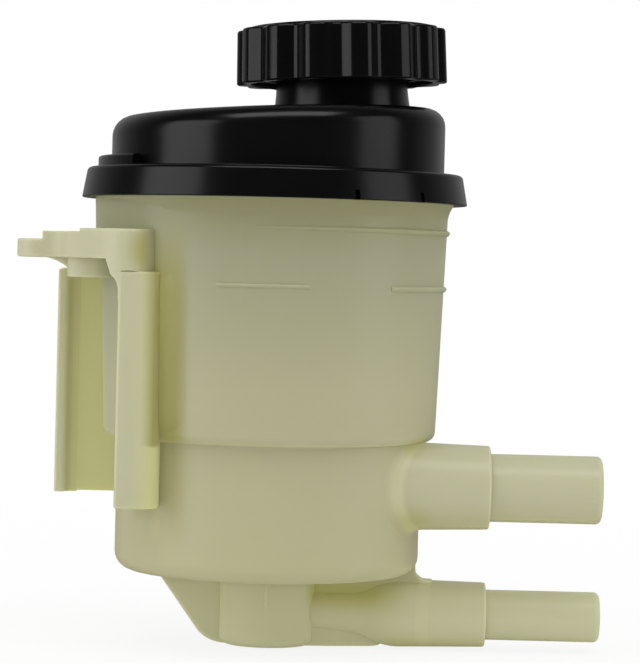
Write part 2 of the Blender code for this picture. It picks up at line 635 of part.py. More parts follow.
def build_body(material):
    body = cup_solid(material)
    add(body, sump_solid(), *floor_webs())
    add(body, port_solid("return_port", 0, RETURN_Z, PASSAGE_RADIUS / 2, RETURN_COLLAR_X,
                         RETURN_COLLAR_RADIUS, RETURN_COLLAR_END, RETURN_TUBE_RADIUS, RETURN_TUBE_LENGTH))
    add(body, suction_pad())
    add(body, port_solid("suction_port", SUCTION_Y, SUCTION_Z, SUCTION_X, SUCTION_X + OVERLAP,
                         SUCTION_COLLAR_RADIUS, SUCTION_COLLAR_END, SUCTION_TUBE_RADIUS, SUCTION_TUBE_LENGTH))
    add(body, *bracket_plate(), *bracket_walls(), bracket_root_pad(), *level_marks())
    cut(body, bolt_hole(), rib_step(), cup_cavity())
    add(body, *baffle_beads())
    cut(body, sump_passage())
    cut(body, port_bore("suction_bore", SUCTION_Y, SUCTION_Z, SUCTION_X,
                        SUCTION_TUBE_RADIUS - SUCTION_TUBE_WALL, SUCTION_COLLAR_END + SUCTION_TUBE_LENGTH))
    cut(body, port_bore("return_bore", 0, RETURN_Z, 0,
                        RETURN_TUBE_RADIUS - RETURN_TUBE_WALL, RETURN_COLLAR_END + RETURN_TUBE_LENGTH))
    return body


def lid_shell(material):
    """The flange with its skirt, and a hollow dome with a sloping top that stands a little off centre."""
    skirt_radius = FLANGE_RADIUS + (FLANGE_Z - SKIRT_Z) * math.tan(FLANGE_DRAFT)
    outside = (
        (0, DOME_TOP_Z, 0),
        (DOME_RADIUS, DOME_TOP_Z, DOME_ROUND),
        (DOME_RADIUS, FLANGE_Z, 0),
        (FLANGE_RADIUS, FLANGE_Z, FLANGE_ROUND),
        (skirt_radius, SKIRT_Z, 0),
    )
    inside = (
        (SKIRT_BORE, SKIRT_Z, 0),
        (SKIRT_BORE, LID_FACE_Z, 0),
        (DOME_RADIUS - LID_WALL, LID_FACE_Z, 0),
        (DOME_RADIUS - LID_WALL, DOME_TOP_Z - LID_WALL, DOME_ROUND - LID_WALL),
        (0, DOME_TOP_Z - LID_WALL, 0),
    )
    bm = turned_mesh(outside + inside, CUP_SIDES)
    for vert in bm.verts:
        if vert.co.xy.length < DOME_RADIUS + SEAT_GAP:
            vert.co.x += DOME_SHIFT
        if vert.co.z > FLANGE_Z + SEAT_GAP:
            vert.co.z += DOME_SLOPE * vert.co.x
    return object_from(bm, "reservoir_lid", material)


def neck_tube(neck_axis):
    flare = NECK_RADIUS + NECK_FLARE
    corners = ((0, -LID_WALL / 2, 0), (flare, -LID_WALL / 2, 0), (flare, SEAT_GAP, 0),
               (NECK_RADIUS, CAP_RIM, 0), (NECK_RADIUS, NECK_TOP, SEAT_GAP), (0, NECK_TOP, 0))
    return turned("neck", corners, RING_SIDES, parent=neck_axis)


def neck_bore(neck_axis):
    low, high = -2 * LID_WALL, NECK_TOP + OVERLAP
    return turned("neck_bore", ((0, low, 0), (NECK_BORE, low, 0), (NECK_BORE, high, 0), (0, high, 0)),
                  RING_SIDES, parent=neck_axis)


def skirt_notches():
    notches = []
    for i, angle in enumerate(SKIRT_NOTCH_ANGLES):
        low = (SKIRT_BORE + SEAT_GAP, -SKIRT_NOTCH_WIDTH / 2, SKIRT_Z - OVERLAP)
        high = (FLANGE_RADIUS + SKIRT_WALL + OVERLAP, SKIRT_NOTCH_WIDTH / 2, SKIRT_Z + SKIRT_NOTCH_HEIGHT)
        notch = box(f"skirt_notch_{i}", low, high)
        notch.rotation_euler.z = angle
        notches.append(notch)
    return notches


def lid_rib():
    inner = DOME_RADIUS + SEAT_GAP
    outer = inner + LID_RIB_WIDTH
    low, top = FLANGE_Z - OVERLAP, FLANGE_Z + LID_RIB_HEIGHT
    corners = ((inner, low, 0), (outer, low, 0), (outer, top, OVERLAP), (inner, top, OVERLAP))
    return arc_solid("lid_rib", corners, *LID_RIB_ARC)


def build_lid(material, neck_axis):
    lid = lid_shell(material)
    add(lid, neck_tube(neck_axis), lid_rib())
    cut(lid, neck_bore(neck_axis), *skirt_notches())
    return lid


def groove_depth(angle):
    """Depth of the finger grooves between the grip's lobes, as a smooth dip once in each period."""
    period = 2 * math.pi / CAP_LOBES
    phase = (angle - CAP_LOBE_PHASE + period / 2) % period - period / 2
    share = abs(phase) / (period * CAP_GROOVE_SHARE)
    return CAP_GROOVE_DEPTH * math.cos(share * math.pi / 2) ** 2 if share < 1 else 0


def build_cap(material, neck_axis):
    """The cap: a lobed grip ring round the skirt that takes the thread, under a plate with a raised disc."""
    rim_radius = CAP_RADIUS + CAP_HEIGHT * math.tan(CAP_DRAFT)
    groove_top = CAP_CEILING - SEAT_GAP
    corners = (
        (0, CAP_CEILING, 0),
        (CAP_BORE, CAP_CEILING, 0),
        (CAP_BORE, CAP_RIM + OVERLAP, 0),
        (CAP_SKIRT_RADIUS, CAP_RIM + OVERLAP, 0),
        (CAP_SKIRT_RADIUS, groove_top, 0),
        (CAP_GRIP_BORE, groove_top, 0),
        (CAP_GRIP_BORE, CAP_RIM, 0),
        (rim_radius, CAP_RIM, CAP_ROUND / 2),
        (CAP_RADIUS, CAP_TOP, CAP_ROUND),
        (CAP_DISC_RADIUS, CAP_TOP, 0),
        (CAP_DISC_RADIUS - CAP_DISC_HEIGHT / 2, CAP_TOP + CAP_DISC_HEIGHT, 0),
        (0, CAP_TOP + CAP_DISC_HEIGHT, 0),
    )
    bm = turned_mesh(corners, CAP_LOBES * CAP_POINTS_PER_LOBE, arc_steps=1)
    bmesh.ops.rotate(bm, verts=bm.verts, matrix=Matrix.Rotation(CAP_LOBE_PHASE, 3, "Z"))
    for vert in bm.verts:
        radius = vert.co.xy.length
        if radius > CAP_RADIUS - CAP_ROUND - SEAT_GAP:
            vert.co.xy *= 1 - groove_depth(math.atan2(vert.co.y, vert.co.x)) / radius
    return object_from(bm, "filler_cap", material, neck_axis)


def build_gasket(material, neck_axis):
    outer = CAP_BORE - SEAT_GAP
    low = NECK_TOP + SEAT_GAP
    corners = ((outer - GASKET_WIDTH, low, 0), (outer, low, 0), (outer, low + GASKET_THICKNESS, 0),
               (outer - GASKET_WIDTH, low + GASKET_THICKNESS, 0))
    return turned("cap_gasket", corners, RING_SIDES, material, neck_axis)


def build_baffle(material):
    """A perforated disc with a short hollow spigot under its centre that guides the filter's spring."""
    radius = upper_radius(SHELF_Z) - WALL - SEAT_GAP
    spigot_z = BAFFLE_Z - SPIGOT_LENGTH
    corners = ((BAFFLE_VENT_RADIUS, spigot_z, 0), (SPIGOT_RADIUS, spigot_z, 0), (SPIGOT_RADIUS, BAFFLE_Z, 0),
               (radius, BAFFLE_Z, 0), (radius, BAFFLE_TOP, 0), (BAFFLE_VENT_RADIUS, BAFFLE_TOP, 0))
    baffle = turned("baffle_plate", corners, CUP_SIDES, material)
    low, high = BAFFLE_Z - OVERLAP, BAFFLE_TOP + OVERLAP
    for i in range(BAFFLE_HOLES):
        hole = turned(f"baffle_hole_{i}", ((0, low, 0), (BAFFLE_HOLE_RADIUS, low, 0),
                                           (BAFFLE_HOLE_RADIUS, high, 0), (0, high, 0)), HOLE_SIDES)
        angle = 2 * math.pi * (i + 0.5) / BAFFLE_HOLES
        hole.location = (BAFFLE_HOLE_CIRCLE * math.cos(angle), BAFFLE_HOLE_CIRCLE * math.sin(angle), 0)
        cut(baffle, hole)
    return baffle


def build_cage(material):
    """The filter's cage: a base ring with a guide tube, rods, and a top disc with the spring's spigot."""
    guide_bore = GUIDE_RADIUS - GUIDE_WALL
    base_top = CAGE_Z + CAGE_RING
    roof = CAGE_TOP_Z - CAGE_RING
    foot = CAGE_Z - GUIDE_LENGTH
    base = ((guide_bore, foot, 0), (GUIDE_RADIUS, foot, 0), (GUIDE_RADIUS, CAGE_Z, 0),
            (CAGE_RADIUS, CAGE_Z, 0), (CAGE_RADIUS, base_top, 0), (guide_bore, base_top, 0))
    cage = turned("filter_cage", base, RING_SIDES, material)
    spigot_top = CAGE_TOP_Z + SPIGOT_LENGTH
    disc = ((0, roof, 0), (CAGE_RADIUS, roof, 0), (CAGE_RADIUS, CAGE_TOP_Z, 0),
            (SPIGOT_RADIUS, CAGE_TOP_Z, 0), (SPIGOT_RADIUS, spigot_top, 0), (0, spigot_top, 0))
    for i in range(CAGE_RODS):
        rod = box(f"cage_rod_{i}", (ROD_BORE, -CAGE_ROD_WIDTH / 2, base_top - OVERLAP),
                  (CAGE_RADIUS - SEAT_GAP, CAGE_ROD_WIDTH / 2, roof + OVERLAP))
        rod.rotation_euler.z = 2 * math.pi * i / CAGE_RODS
        add(cage, rod)
    add(cage, turned("cage_roof", disc, RING_SIDES))
    return cage


def build_mesh_sleeve(material):
    low, high = CAGE_Z + CAGE_RING + SEAT_GAP, CAGE_TOP_Z - CAGE_RING - SEAT_GAP
    corners = ((MESH_RADIUS - MESH_WALL, low, 0), (MESH_RADIUS, low, 0), (MESH_RADIUS, high, 0),
               (MESH_RADIUS - MESH_WALL, high, 0))
    return turned("filter_mesh", corners, RING_SIDES, material)


def build_seal(material):
    inner, high = SEAL_RADIUS - SEAL_WIDTH, SEAL_Z + SEAL_THICKNESS
    corners = ((inner, SEAL_Z, 0), (SEAL_RADIUS, SEAL_Z, 0), (SEAL_RADIUS, high, 0), (inner, high, 0))
    return turned("filter_seal", corners, RING_SIDES, material)


def build_spring(material):
    """A coil of round wire between the cage's roof and the baffle plate, closing up at both ends."""
    low = CAGE_TOP_Z + SEAT_GAP + SPRING_WIRE
    high = BAFFLE_Z - SEAT_GAP - SPRING_WIRE
    steps = round(SPRING_TURNS * SPRING_STEPS)
    curve = bpy.data.curves.new("filter_spring", "CURVE")
    curve.dimensions = "3D"
    curve.bevel_depth = SPRING_WIRE
    curve.bevel_resolution = 2
    curve.use_fill_caps = True
    spline = curve.splines.new("POLY")
    spline.points.add(steps)
    for k, point in enumerate(spline.points):
        angle = 2 * math.pi * k / SPRING_STEPS
        height = low + (high - low) * k / steps
        point.co = (SPRING_RADIUS * math.cos(angle), SPRING_RADIUS * math.sin(angle), height, 1)
    curve.materials.append(material)
    spring = bpy.data.objects.new("filter_spring", curve)
    bpy.context.scene.collection.objects.link(spring)
    return spring


def build():
    for old in list(bpy.data.objects):
        bpy.data.objects.remove(old, do_unlink=True)

    neck_axis = bpy.data.objects.new("neck_axis", None)
    neck_axis.location = (NECK_X, 0, NECK_BASE_Z)
    neck_axis.rotation_euler = (0, NECK_TILT, 0)
    bpy.context.scene.collection.objects.link(neck_axis)

    build_body(plastic("natural_plastic", (0.50, 0.49, 0.32), 0.4))
    black = plastic("black_plastic", (0.012, 0.012, 0.014), 0.22)
    build_lid(black, neck_axis)
    build_cap(plastic("cap_plastic", (0.012, 0.012, 0.014), 0.2), neck_axis)
    build_gasket(plastic("rubber", (0.02, 0.02, 0.02), 0.8), neck_axis)
    build_baffle(plastic("baffle_plastic", (0.55, 0.53, 0.45), 0.45))
    build_cage(plastic("cage_plastic", (0.72, 0.70, 0.64), 0.45))
    build_mesh_sleeve(plastic("nylon_mesh", (0.8, 0.78, 0.7), 0.7))
    build_seal(plastic("seal_rubber", (0.02, 0.02, 0.02), 0.8))
    build_spring(plastic("spring_steel", (0.55, 0.55, 0.56), 0.3, metallic=1.0))


build()
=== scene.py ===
import math

import bmesh
import bpy
from mathutils import Matrix, Vector


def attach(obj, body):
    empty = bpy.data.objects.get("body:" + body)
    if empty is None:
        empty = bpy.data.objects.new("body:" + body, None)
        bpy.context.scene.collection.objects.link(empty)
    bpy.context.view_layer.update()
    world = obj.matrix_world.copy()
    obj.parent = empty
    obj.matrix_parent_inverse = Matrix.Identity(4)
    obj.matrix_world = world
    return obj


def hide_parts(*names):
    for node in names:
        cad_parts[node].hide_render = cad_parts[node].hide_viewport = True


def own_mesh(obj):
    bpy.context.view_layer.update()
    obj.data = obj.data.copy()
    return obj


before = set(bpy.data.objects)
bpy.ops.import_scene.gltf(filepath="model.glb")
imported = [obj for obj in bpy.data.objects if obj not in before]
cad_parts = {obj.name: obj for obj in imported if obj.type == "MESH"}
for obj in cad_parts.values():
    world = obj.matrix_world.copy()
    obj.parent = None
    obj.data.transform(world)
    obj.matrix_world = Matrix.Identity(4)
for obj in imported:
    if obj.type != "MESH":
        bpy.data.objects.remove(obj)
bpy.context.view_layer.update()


# Cup: one injection moulding in natural polyamide, a drafted upper section on a narrower lower one.
# The sump under the floor carries the return spigot, and the wall carries the suction spigot.
# All sizes are in millimetres, and the finished meshes are brought to metres.

MM = 0.001


class Socket:
    """An output of a shader node. A sum on it adds the Math nodes that it needs."""

    def __init__(self, tree, output):
        self.tree = tree
        self.output = output

    @classmethod
    def node(cls, tree, kind, settings=None, inputs=None, output=0):
        """Adds any other node: its settings come first, then the values or links of its inputs."""
        node = tree.nodes.new(kind)
        for name, value in (settings or {}).items():
            setattr(node, name, value)
        for name, value in (inputs or {}).items():
            if isinstance(value, Socket):
                tree.links.new(value.output, node.inputs[name])
            else:
                node.inputs[name].default_value = value
        return cls(tree, node.outputs[output])

    def maths(self, operation, *operands):
        return Socket.node(self.tree, "ShaderNodeMath", {"operation": operation}, dict(enumerate(operands)))

    def __add__(self, other):
        return self.maths("ADD", self, other)

    def __radd__(self, other):
        return self.maths("ADD", other, self)

    def __sub__(self, other):
        return self.maths("SUBTRACT", self, other)

    def __rsub__(self, other):
        return self.maths("SUBTRACT", other, self)

    def __mul__(self, other):
        return self.maths("MULTIPLY", self, other)

    def __rmul__(self, other):
        return self.maths("MULTIPLY", other, self)

    def __truediv__(self, other):
        return self.maths("DIVIDE", self, other)

    def of(self, operation, *others):
        """Any other Math node, with this output as its first operand."""
        return self.maths(operation, self, *others)

    def limited(self):
        return self.of("MAXIMUM", 0).of("MINIMUM", 1)

    def ramp(self, start, end):
        """A mask that is 0 at the start and 1 at the end, and straight between them."""
        return ((self - start) / (end - start)).limited()

    def eased(self, start=0, end=1):
        """The same with soft ends."""
        held = self.ramp(start, end)
        return held * held * (3 - 2 * held)


class Finish:
    """A material round one Principled shader. Named constants go on the shader's own sockets."""

    def __init__(self, name, **constants):
        self.material = bpy.data.materials.new(name)
        self.material.use_nodes = True
        self.tree = self.material.node_tree
        self.shader = self.tree.nodes["Principled BSDF"]
        for socket, value in constants.items():
            self.set(socket.replace("_", " "), value)

    def set(self, socket, value):
        if isinstance(value, Socket):
            self.tree.links.new(value.output, self.shader.inputs[socket])
        else:
            self.shader.inputs[socket].default_value = value

    def node(self, kind, settings=None, inputs=None, output=0):
        return Socket.node(self.tree, kind, settings, inputs, output)

    def grain(self, size, detail=3.0, stretch=(1, 1, 1)):
        """Noise in the object's own coordinates, with features of about the given size."""
        place = self.node("ShaderNodeTexCoord", output="Object")
        spread = self.node("ShaderNodeMapping", inputs={"Vector": place, "Scale": stretch})
        return self.node("ShaderNodeTexNoise",
                         inputs={"Vector": spread, "Scale": 1 / (size * MM), "Detail": detail})

    def axes(self):
        """The object's own X, Y and Z."""
        place = self.node("ShaderNodeTexCoord", output="Object")
        return [self.node("ShaderNodeSeparateXYZ", inputs={"Vector": place}, output=axis) / MM
                for axis in "XYZ"]

    def near(self, place, reach, rise):
        """A mask that is full round a place and fades at about the reach. None leaves an axis out."""
        squares = [(axis - at) * (axis - at) for axis, at in zip(self.axes(), place) if at is not None]
        total = squares[0] + squares[1]
        for square in squares[2:]:
            total = total + square
        return (rise - total.of("SQRT") / reach).eased()

    def blend(self, mask, first, second):
        """A mix of two colours, each a triple or another blend."""
        first, second = [side if isinstance(side, Socket) else (*side, 1) for side in (first, second)]
        return self.node("ShaderNodeMix", {"data_type": "RGBA"}, {0: mask, 6: first, 7: second}, output=2)

    def relief(self, height, depth):
        """Bump of a real depth."""
        self.set("Normal", self.node("ShaderNodeBump", inputs={
            "Height": height, "Distance": depth * MM, "Strength": 1.0}))


def section(corners, upright=True):
    """A bmesh with one face from (u, v, round) corners, each corner rounded by its own bevel."""
    bm = bmesh.new()
    places = [(u, 0, v) if upright else (u, v, 0) for u, v, _ in corners]
    verts = [bm.verts.new(place) for place in places]
    bm.faces.new(verts)
    for vert, corner in zip(verts, corners):
        if corner[2]:
            bmesh.ops.bevel(bm, geom=[vert], offset=corner[2], offset_type="OFFSET", segments=6,
                            profile=0.5, affect="VERTICES", clamp_overlap=True, material=-1)
    return seamless(bm)


def seamless(bm):
    """Merges the corners that lie on each other."""
    bmesh.ops.remove_doubles(bm, verts=bm.verts, dist=0.0005)
    return bm


def shifted(bm, x, y, z):
    bmesh.ops.translate(bm, verts=bm.verts, vec=(x, y, z))
    return bm


def piece_from(bm, name, finish=None):
    """Closes a bmesh's seams, turns its faces out and makes it an object of the scene, in metres."""
    seamless(bm)
    bmesh.ops.recalc_face_normals(bm, faces=bm.faces)
    bmesh.ops.scale(bm, vec=(MM, MM, MM), verts=bm.verts)
    mesh = bpy.data.meshes.new(name)
    bm.to_mesh(mesh)
    bm.free()
    made = bpy.data.objects.new(name, mesh)
    bpy.context.scene.collection.objects.link(made)
    return shaded(made, finish)


def shaded(piece, finish=None):
    """Smooth shading that breaks at real edges and keeps flat faces flat."""
    piece.data.shade_smooth()
    piece.data.set_sharp_from_angle(angle=math.radians(32))
    if finish:
        piece.data.materials.clear()
        piece.data.materials.append(finish.material)
        flat = piece.modifiers.new("flat_faces", "WEIGHTED_NORMAL")
        flat.keep_sharp = True
    return piece


def turned(corners, sides=128, angle=360, start=0, rise=0):
    """A section spun about Z. A full turn of a section that begins on the axis ends there too."""
    bm = section(corners)
    whole = angle == 360 and not rise
    if whole:
        bmesh.ops.delete(bm, geom=bm.faces[:], context="FACES_ONLY")
        axis = [edge for edge in bm.edges if all(abs(vert.co.x) < 1e-6 for vert in edge.verts)]
        bmesh.ops.delete(bm, geom=axis, context="EDGES")
    bmesh.ops.rotate(bm, verts=bm.verts, cent=(0, 0, 0),
                     matrix=Matrix.Rotation(math.radians(start), 3, "Z"))
    geometry = bm.verts[:] + bm.edges[:] + bm.faces[:]
    steps = max(3, round(angle / 360 * sides))
    bmesh.ops.spin(bm, geom=geometry, cent=(0, 0, 0), axis=(0, 0, 1), dvec=(0, 0, rise / steps),
                   angle=math.radians(angle), steps=steps, use_merge=whole)
    return bm


def along_x(bm, y, z):
    """Lays a turned shape along +X."""
    bmesh.ops.rotate(bm, verts=bm.verts, cent=(0, 0, 0), matrix=Matrix.Rotation(math.pi / 2, 3, "Y"))
    return shifted(bm, 0, y, z)


def extruded(corners, low, high, upright=False, ease=0.0, ease_above=-1000):
    """A rounded outline in X and Y between two heights, or an upright one in X and Z between two Y.
    Ease rounds the sharp edges that are left, at and above the given height."""
    bm = section(corners, upright)
    made = bmesh.ops.extrude_face_region(bm, geom=bm.faces[:])["geom"]
    moved = [part for part in made if isinstance(part, bmesh.types.BMVert)]
    direction = Vector((0, 1, 0)) if upright else Vector((0, 0, 1))
    bmesh.ops.translate(bm, verts=bm.verts, vec=direction * low)
    bmesh.ops.translate(bm, verts=moved, vec=direction * (high - low))
    if ease:
        bmesh.ops.recalc_face_normals(bm, faces=bm.faces)
        sharp = [edge for edge in bm.edges if edge.calc_face_angle(0) > math.radians(35)
                 and min(vert.co.z for vert in edge.verts) >= ease_above]
        bmesh.ops.bevel(bm, geom=sharp, offset=ease, offset_type="OFFSET", segments=3, profile=0.5,
                        affect="EDGES", clamp_overlap=True, material=-1)
    return bm


def bent(start, bend, end, steps=8):
    """Corners along a smooth curve from start to end, which sets off towards the bend."""
    places = []
    for i in range(steps + 1):
        t = i / steps
        places.append(((1 - t) ** 2 * start[0] + 2 * t * (1 - t) * bend[0] + t ** 2 * end[0],
                       (1 - t) ** 2 * start[1] + 2 * t * (1 - t) * bend[1] + t ** 2 * end[1], 0))
    return places


def moulded(name, joined, hollows, finish):
    """One closed body: the first list of shapes joined, then the second taken away."""
    parts = [piece_from(bm, f"{name}_part_{i}") for i, bm in enumerate(joined)]
    tools = [piece_from(bm, f"{name}_tool_{i}") for i, bm in enumerate(hollows)]
    body = parts[0]
    for group, operation in ((parts[1:], "UNION"), (tools, "DIFFERENCE")):
        operands = bpy.data.collections.new(f"{name}_{operation.lower()}")
        for other in group:
            operands.objects.link(other)
        step = body.modifiers.new(operation.lower(), "BOOLEAN")
        step.operation = operation
        step.solver = "EXACT"
        step.operand_type = "COLLECTION"
        step.collection = operands
    result = bpy.data.meshes.new_from_object(body.evaluated_get(bpy.context.evaluated_depsgraph_get()))
    for other in parts[1:] + tools:
        bpy.data.objects.remove(other)
    body.modifiers.clear()
    body.data = result
    body.name = name
    return shaded(body, finish)


# The plastic's colour carries painted light and shade: the thin walls are painted darker than the solid
# parts for the light lost into the cup, paler low down and darker under the lid, and deeper and yellower
# where two walls meet or under the spigots and plate. A painted glow stands for the light that the cup
# collects.
natural = Finish("natural_plastic", Subsurface_Weight=1.0, Subsurface_Radius=(1.0, 1.0, 0.85),
                 Subsurface_Scale=1.6 * MM, IOR=1.5, Emission_Strength=1.0)
x, y, z = natural.axes()
from_axis = (x * x + y * y).of("SQRT")
cloud = natural.grain(26, 1.0, (1, 1, 0.6)) - 0.5

# Thin walls against solid parts: the walls' darker colour is painted shade for the light lost into the cup.
solid = from_axis.ramp(42.5, 45.5) + z.ramp(17, 14)
solid = (solid + from_axis.ramp(37, 38.5) * z.ramp(49, 48.2)).limited()
# Painted shade beside the rail and at the end of the plate.
painted_crease_shade = natural.near((-23.6, -34.2, None), 5, 1.4) * z.eased(22, 38) * z.eased(104, 84)
plate_end_shade = natural.near((-27.3, -31.5, 93.5), 5.2, 1.5)
# Painted light: the slab, lip and rail's turn are painted paler and yellower, and get a painted glow.
slab_painted_light = x.ramp(-36, -39) * y.ramp(16, 17.5) * y.ramp(19.5, 17.5)
lip_painted_glow = x.ramp(-49, -50) * y.ramp(12, 13) * y.ramp(18, 15) * z.ramp(89, 88)
rail_turn_painted_light = x.eased(-31.5, -25.5) * x.ramp(-24, -25) * y.ramp(-24, -27)
rail_turn_painted_light = rail_turn_painted_light * z.ramp(26, 30) * z.ramp(88.8, 88.5)
# Painted shade on the neck and web under the return spigot, below the spigots and round the suction
# spigot's root.
low_port_shade = x.eased(9, 12) * x.eased(36, 23) * (z - 15).of("ABSOLUTE").eased(7.8, 1.8)
below_port_shade = x.eased(26, 31) * (z.eased(37, 28) * z.ramp(20, 24) + z.eased(4.5, 0.5))
port_root_shade = natural.near((33, -17, 48.5), 4.5, 1.2) + natural.near((34, -19, 32), 6, 1.1)
# Painted glow under the ledge.
under_ledge_glow = from_axis.ramp(36.6, 37.6) * from_axis.ramp(39.8, 38.8) * z.ramp(50.4, 49.4)

# The colour of the painted shade.
painted_shade_tone = (0.36, 0.342, 0.13)
# Wall colour: random clouding, painted paler low down and darker higher up, painted shadow under the lid,
# and painted crease shade beside the rail.
wall_tones_and_shade = natural.blend((z - 20) / 40 + 0.12 * cloud, (0.435, 0.417, 0.29), (0.4, 0.391, 0.28))
wall_tones_and_shade = natural.blend((z - 62) / 32 + 0.12 * cloud, wall_tones_and_shade, (0.3, 0.3, 0.227))
wall_tones_and_shade = natural.blend((z - 93) / 14 * x.ramp(-34, -18), wall_tones_and_shade, (0.248, 0.24, 0.152))
wall_tones_and_shade = natural.blend(painted_crease_shade, wall_tones_and_shade, (0.265, 0.25, 0.098))
# Solid parts' colour: random clouding, painted yellow light on the slab and rail, and painted shade round
# the return spigot, the plate end and the suction spigot's root.
solid_tones_and_shade = natural.blend(0.08 + 0.2 * cloud, (0.475, 0.468, 0.35), (0.44, 0.43, 0.3))
solid_tones_and_shade = natural.blend((slab_painted_light + rail_turn_painted_light).limited(), solid_tones_and_shade, (0.5, 0.492, 0.27))
solid_tones_and_shade = natural.blend((low_port_shade + plate_end_shade + below_port_shade * 0.45).limited(), solid_tones_and_shade, painted_shade_tone)
natural.set("Base Color", natural.blend(port_root_shade * 0.45, natural.blend(solid, wall_tones_and_shade, solid_tones_and_shade), painted_shade_tone))
# A painted glow: faint yellow everywhere, stronger on the slab, lip, rail, under the ledge and below the
# floor.
painted_glow = slab_painted_light * 0.9 + lip_painted_glow * 0.7 + rail_turn_painted_light * 0.6 + under_ledge_glow + z.ramp(17, 14) * 0.75
natural.set("Emission Color",
            natural.blend(painted_glow.limited(), (0.06, 0.058, 0.012), (0.125, 0.122, 0.045)))
natural.set("Roughness", 0.29 + 0.05 * natural.grain(8, 1.0))
natural.relief(natural.grain(0.5), 0.004)

floor_z, ledge_z, skirt_z, rim_top = 17.7, 49.6, 106.0, 110.5
lower_radius, upper_radius, rim_radius = 36.4, 39.7, 42.89
draft = math.tan(math.radians(2))
wall, floor_thickness = 2.4, 2.6
inner_floor = floor_z + floor_thickness


def upper(z):
    """Outer radius of the drafted upper section at a height."""
    return upper_radius + (z - ledge_z) * draft


flare_z = skirt_z - 2.2
cup_outside = turned([
    (0, floor_z, 0), (lower_radius, floor_z, 4.1), (lower_radius, ledge_z, 1.0),
    (upper_radius, ledge_z, 2.2), (upper(flare_z), flare_z, 1.5), (rim_radius, skirt_z, 0.4),
    (rim_radius, rim_top, 0), (0, rim_top, 0)])
cup_inside = turned([
    (0, inner_floor, 0), (lower_radius - wall, inner_floor, 2),
    (lower_radius - wall, ledge_z + wall, 0.5), (upper(ledge_z + wall) - wall, ledge_z + wall, 0.4),
    (upper(rim_top) - wall, rim_top + 1, 0), (0, rim_top + 1, 0)])

sump_radius, sump_bore = 11.7, 8.5
sump = shifted(turned([
    (0, 0, 0), (sump_radius, 0, 2.2), (sump_radius, floor_z - 0.05, 0),
    (sump_radius + 1.5, floor_z + 1.45, 0), (0, floor_z + 1.45, 0)], sides=64), 0.5, 0, 0)
sump_hollow = turned([
    (0, floor_thickness, 0), (sump_bore, floor_thickness, 2), (sump_bore, inner_floor + 1, 0),
    (0, inner_floor + 1, 0)], sides=64)
parting_line = extruded([
    (0.0, -11.85, 0.25), (0.9, -11.85, 0.25), (0.9, -10, 0), (0.0, -10, 0)], 10, floor_z + 1, ease=0.1)

return_z, return_radius, return_collar = 8.1, 6, 7.7
collar_start, collar_end, return_end = 29, 52.8, 80.2
collar_root = return_collar + (collar_end - collar_start) * math.tan(math.radians(1.2))
return_port = along_x(turned([
    (0, 4, 0), (5.5, 4, 0), (5.6, 23, 2), (collar_root, collar_start, 3),
    (return_collar, collar_end, 0.5), (return_radius, collar_end, 0.4), (return_radius, return_end, 1.3),
    (0, return_end, 0)], sides=72), 0, return_z)
return_bore = along_x(turned([
    (0, 0, 0), (4.2, 0, 0), (4.2, 79.6, 0), (4.8, 81, 0), (0, 81, 0)], sides=72), 0, return_z)
gusset = extruded([
    (0, floor_z + 1, 0), (-27.3, floor_z + 1, 0), (-14.7, 1.2, 2.5), (-10.5, 0.1, 1), (0, 0.1, 0)],
    -3, 3, upright=True, ease=0.6)
web = extruded([
    (8, floor_z + 1, 0), (8, 8, 0), (40, 8, 0), (40, 16.1, 0), (36, 16.3, 2.4), (35.8, floor_z + 3, 0),
    (34, floor_z + 3, 0), (34, floor_z + 1, 0)], -3, 3, upright=True)
keel = extruded([
    (6, -4.6, 0), (14, -4.4, 5), (28, -1.8, 3), (28, 1.8, 3), (14, 4.4, 5), (6, 4.6, 0)],
    0.06, 6, ease=1.0)

suction_y, suction_z, suction_radius, suction_end = -12.7, 39.6, 8, 78.8
root_radius, root_fillet, root_steps, root_inside = 10.25, 3.2, 8, 20.4
suction_port = along_x(turned(
    [(0, -1, 0), (root_radius + root_fillet, -1, 0)]
    + [(root_radius + root_fillet * (1 - i / root_steps) ** 2, i, 0) for i in range(root_steps + 1)]
    + [(9.85, 52.4, 0.5), (suction_radius, 52.4, 0.5), (suction_radius, suction_end, 1.3),
       (0, suction_end, 0)], sides=96), suction_y, suction_z)
pad_x, pad_y = 1.45, -0.7


def wall_x(y, z):
    """The wall's X beside the spigot, with the low pad that thickens it there."""
    pad = min(35.2, 34.2 + (z - 24) / 12)
    return max(math.sqrt(lower_radius ** 2 - y ** 2), pad_x + math.sqrt(pad ** 2 - (y - pad_y) ** 2))


# The spigot's first rings are laid on the wall, so that its root is a fillet that follows the curve.
for vert in suction_port.verts:
    if vert.co.x < root_steps + 0.5:
        aside = Vector((vert.co.y - suction_y, vert.co.z - suction_z))
        share = vert.co.x / root_steps
        if share < 0:
            vert.co.x = root_inside
        elif aside.length:
            foot = aside.normalized() * (root_radius + root_fillet)
            corner = aside.normalized() * root_radius
            vert.co.x = ((1 - share) ** 2 * (wall_x(suction_y + foot.x, suction_z + foot.y) - 0.15)
                         + (1 - (1 - share) ** 2) * wall_x(suction_y + corner.x, suction_z + corner.y)
                         + share ** 2 * root_fillet)
suction_bore = along_x(turned([
    (0, root_inside, 0), (6.1, root_inside, 0), (6.1, 78.2, 0), (6.9, 80.3, 0), (0, 80.3, 0)],
    sides=56), suction_y, suction_z)
suction_pad = shifted(turned([
    (0, 24, 0), (34.2, 24, 0), (35.2, 36, 0), (35.2, ledge_z + 0.6, 0), (0, ledge_z + 0.6, 0)]),
    pad_x, pad_y, 0)

